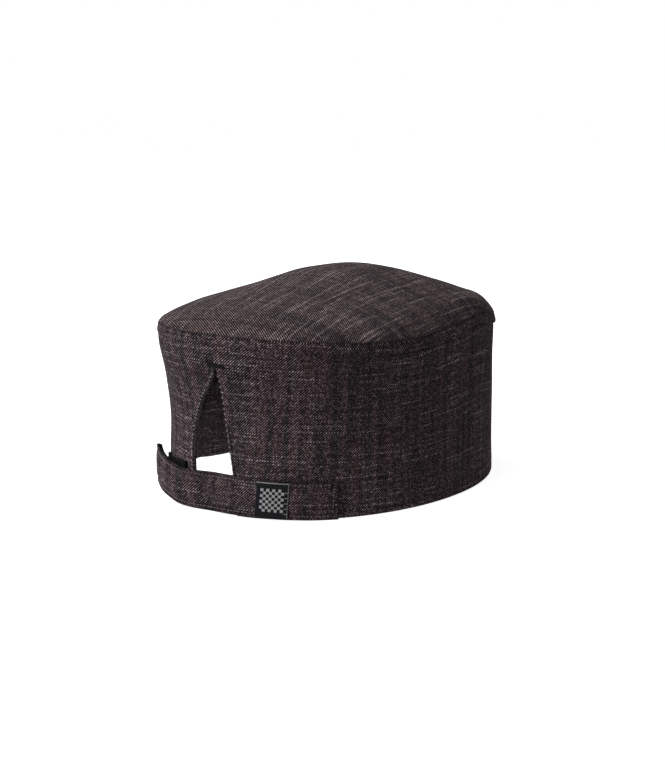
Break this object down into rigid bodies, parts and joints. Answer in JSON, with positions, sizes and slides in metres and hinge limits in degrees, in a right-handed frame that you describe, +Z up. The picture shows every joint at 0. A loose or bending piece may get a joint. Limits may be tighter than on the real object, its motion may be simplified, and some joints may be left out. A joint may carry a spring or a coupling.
{
  "type": "chef skull cap",
  "caption": "Round cloth cap with a domed oval top panel, a tall wall and a back slit closed by a hook-and-loop strap with a small woven label.",
  "frame": {"origin": "below the middle of the cap, on the surface that its rim rests on", "axes": "+Z up, +Y towards the front of the cap, so that the slit and strap are at the back on -Y, and +X towards the wearer's right"},
  "size_m": [0.1566, 0.2026, 0.114],
  "materials": {
    "cloth": "matte cross-dyed twill, dark plum grey with pale flecks",
    "label": "satin woven label, near black with a pale grey border",
    "tape": "matte black hook-and-loop tape"
  },
  "bodies": {
    "root": {"crown_top": "cloth", "side_band": "cloth", "strap": "cloth", "label": "label", "loop_patch": "tape", "hook_tape": "tape"}
  },
  "joints": []
}
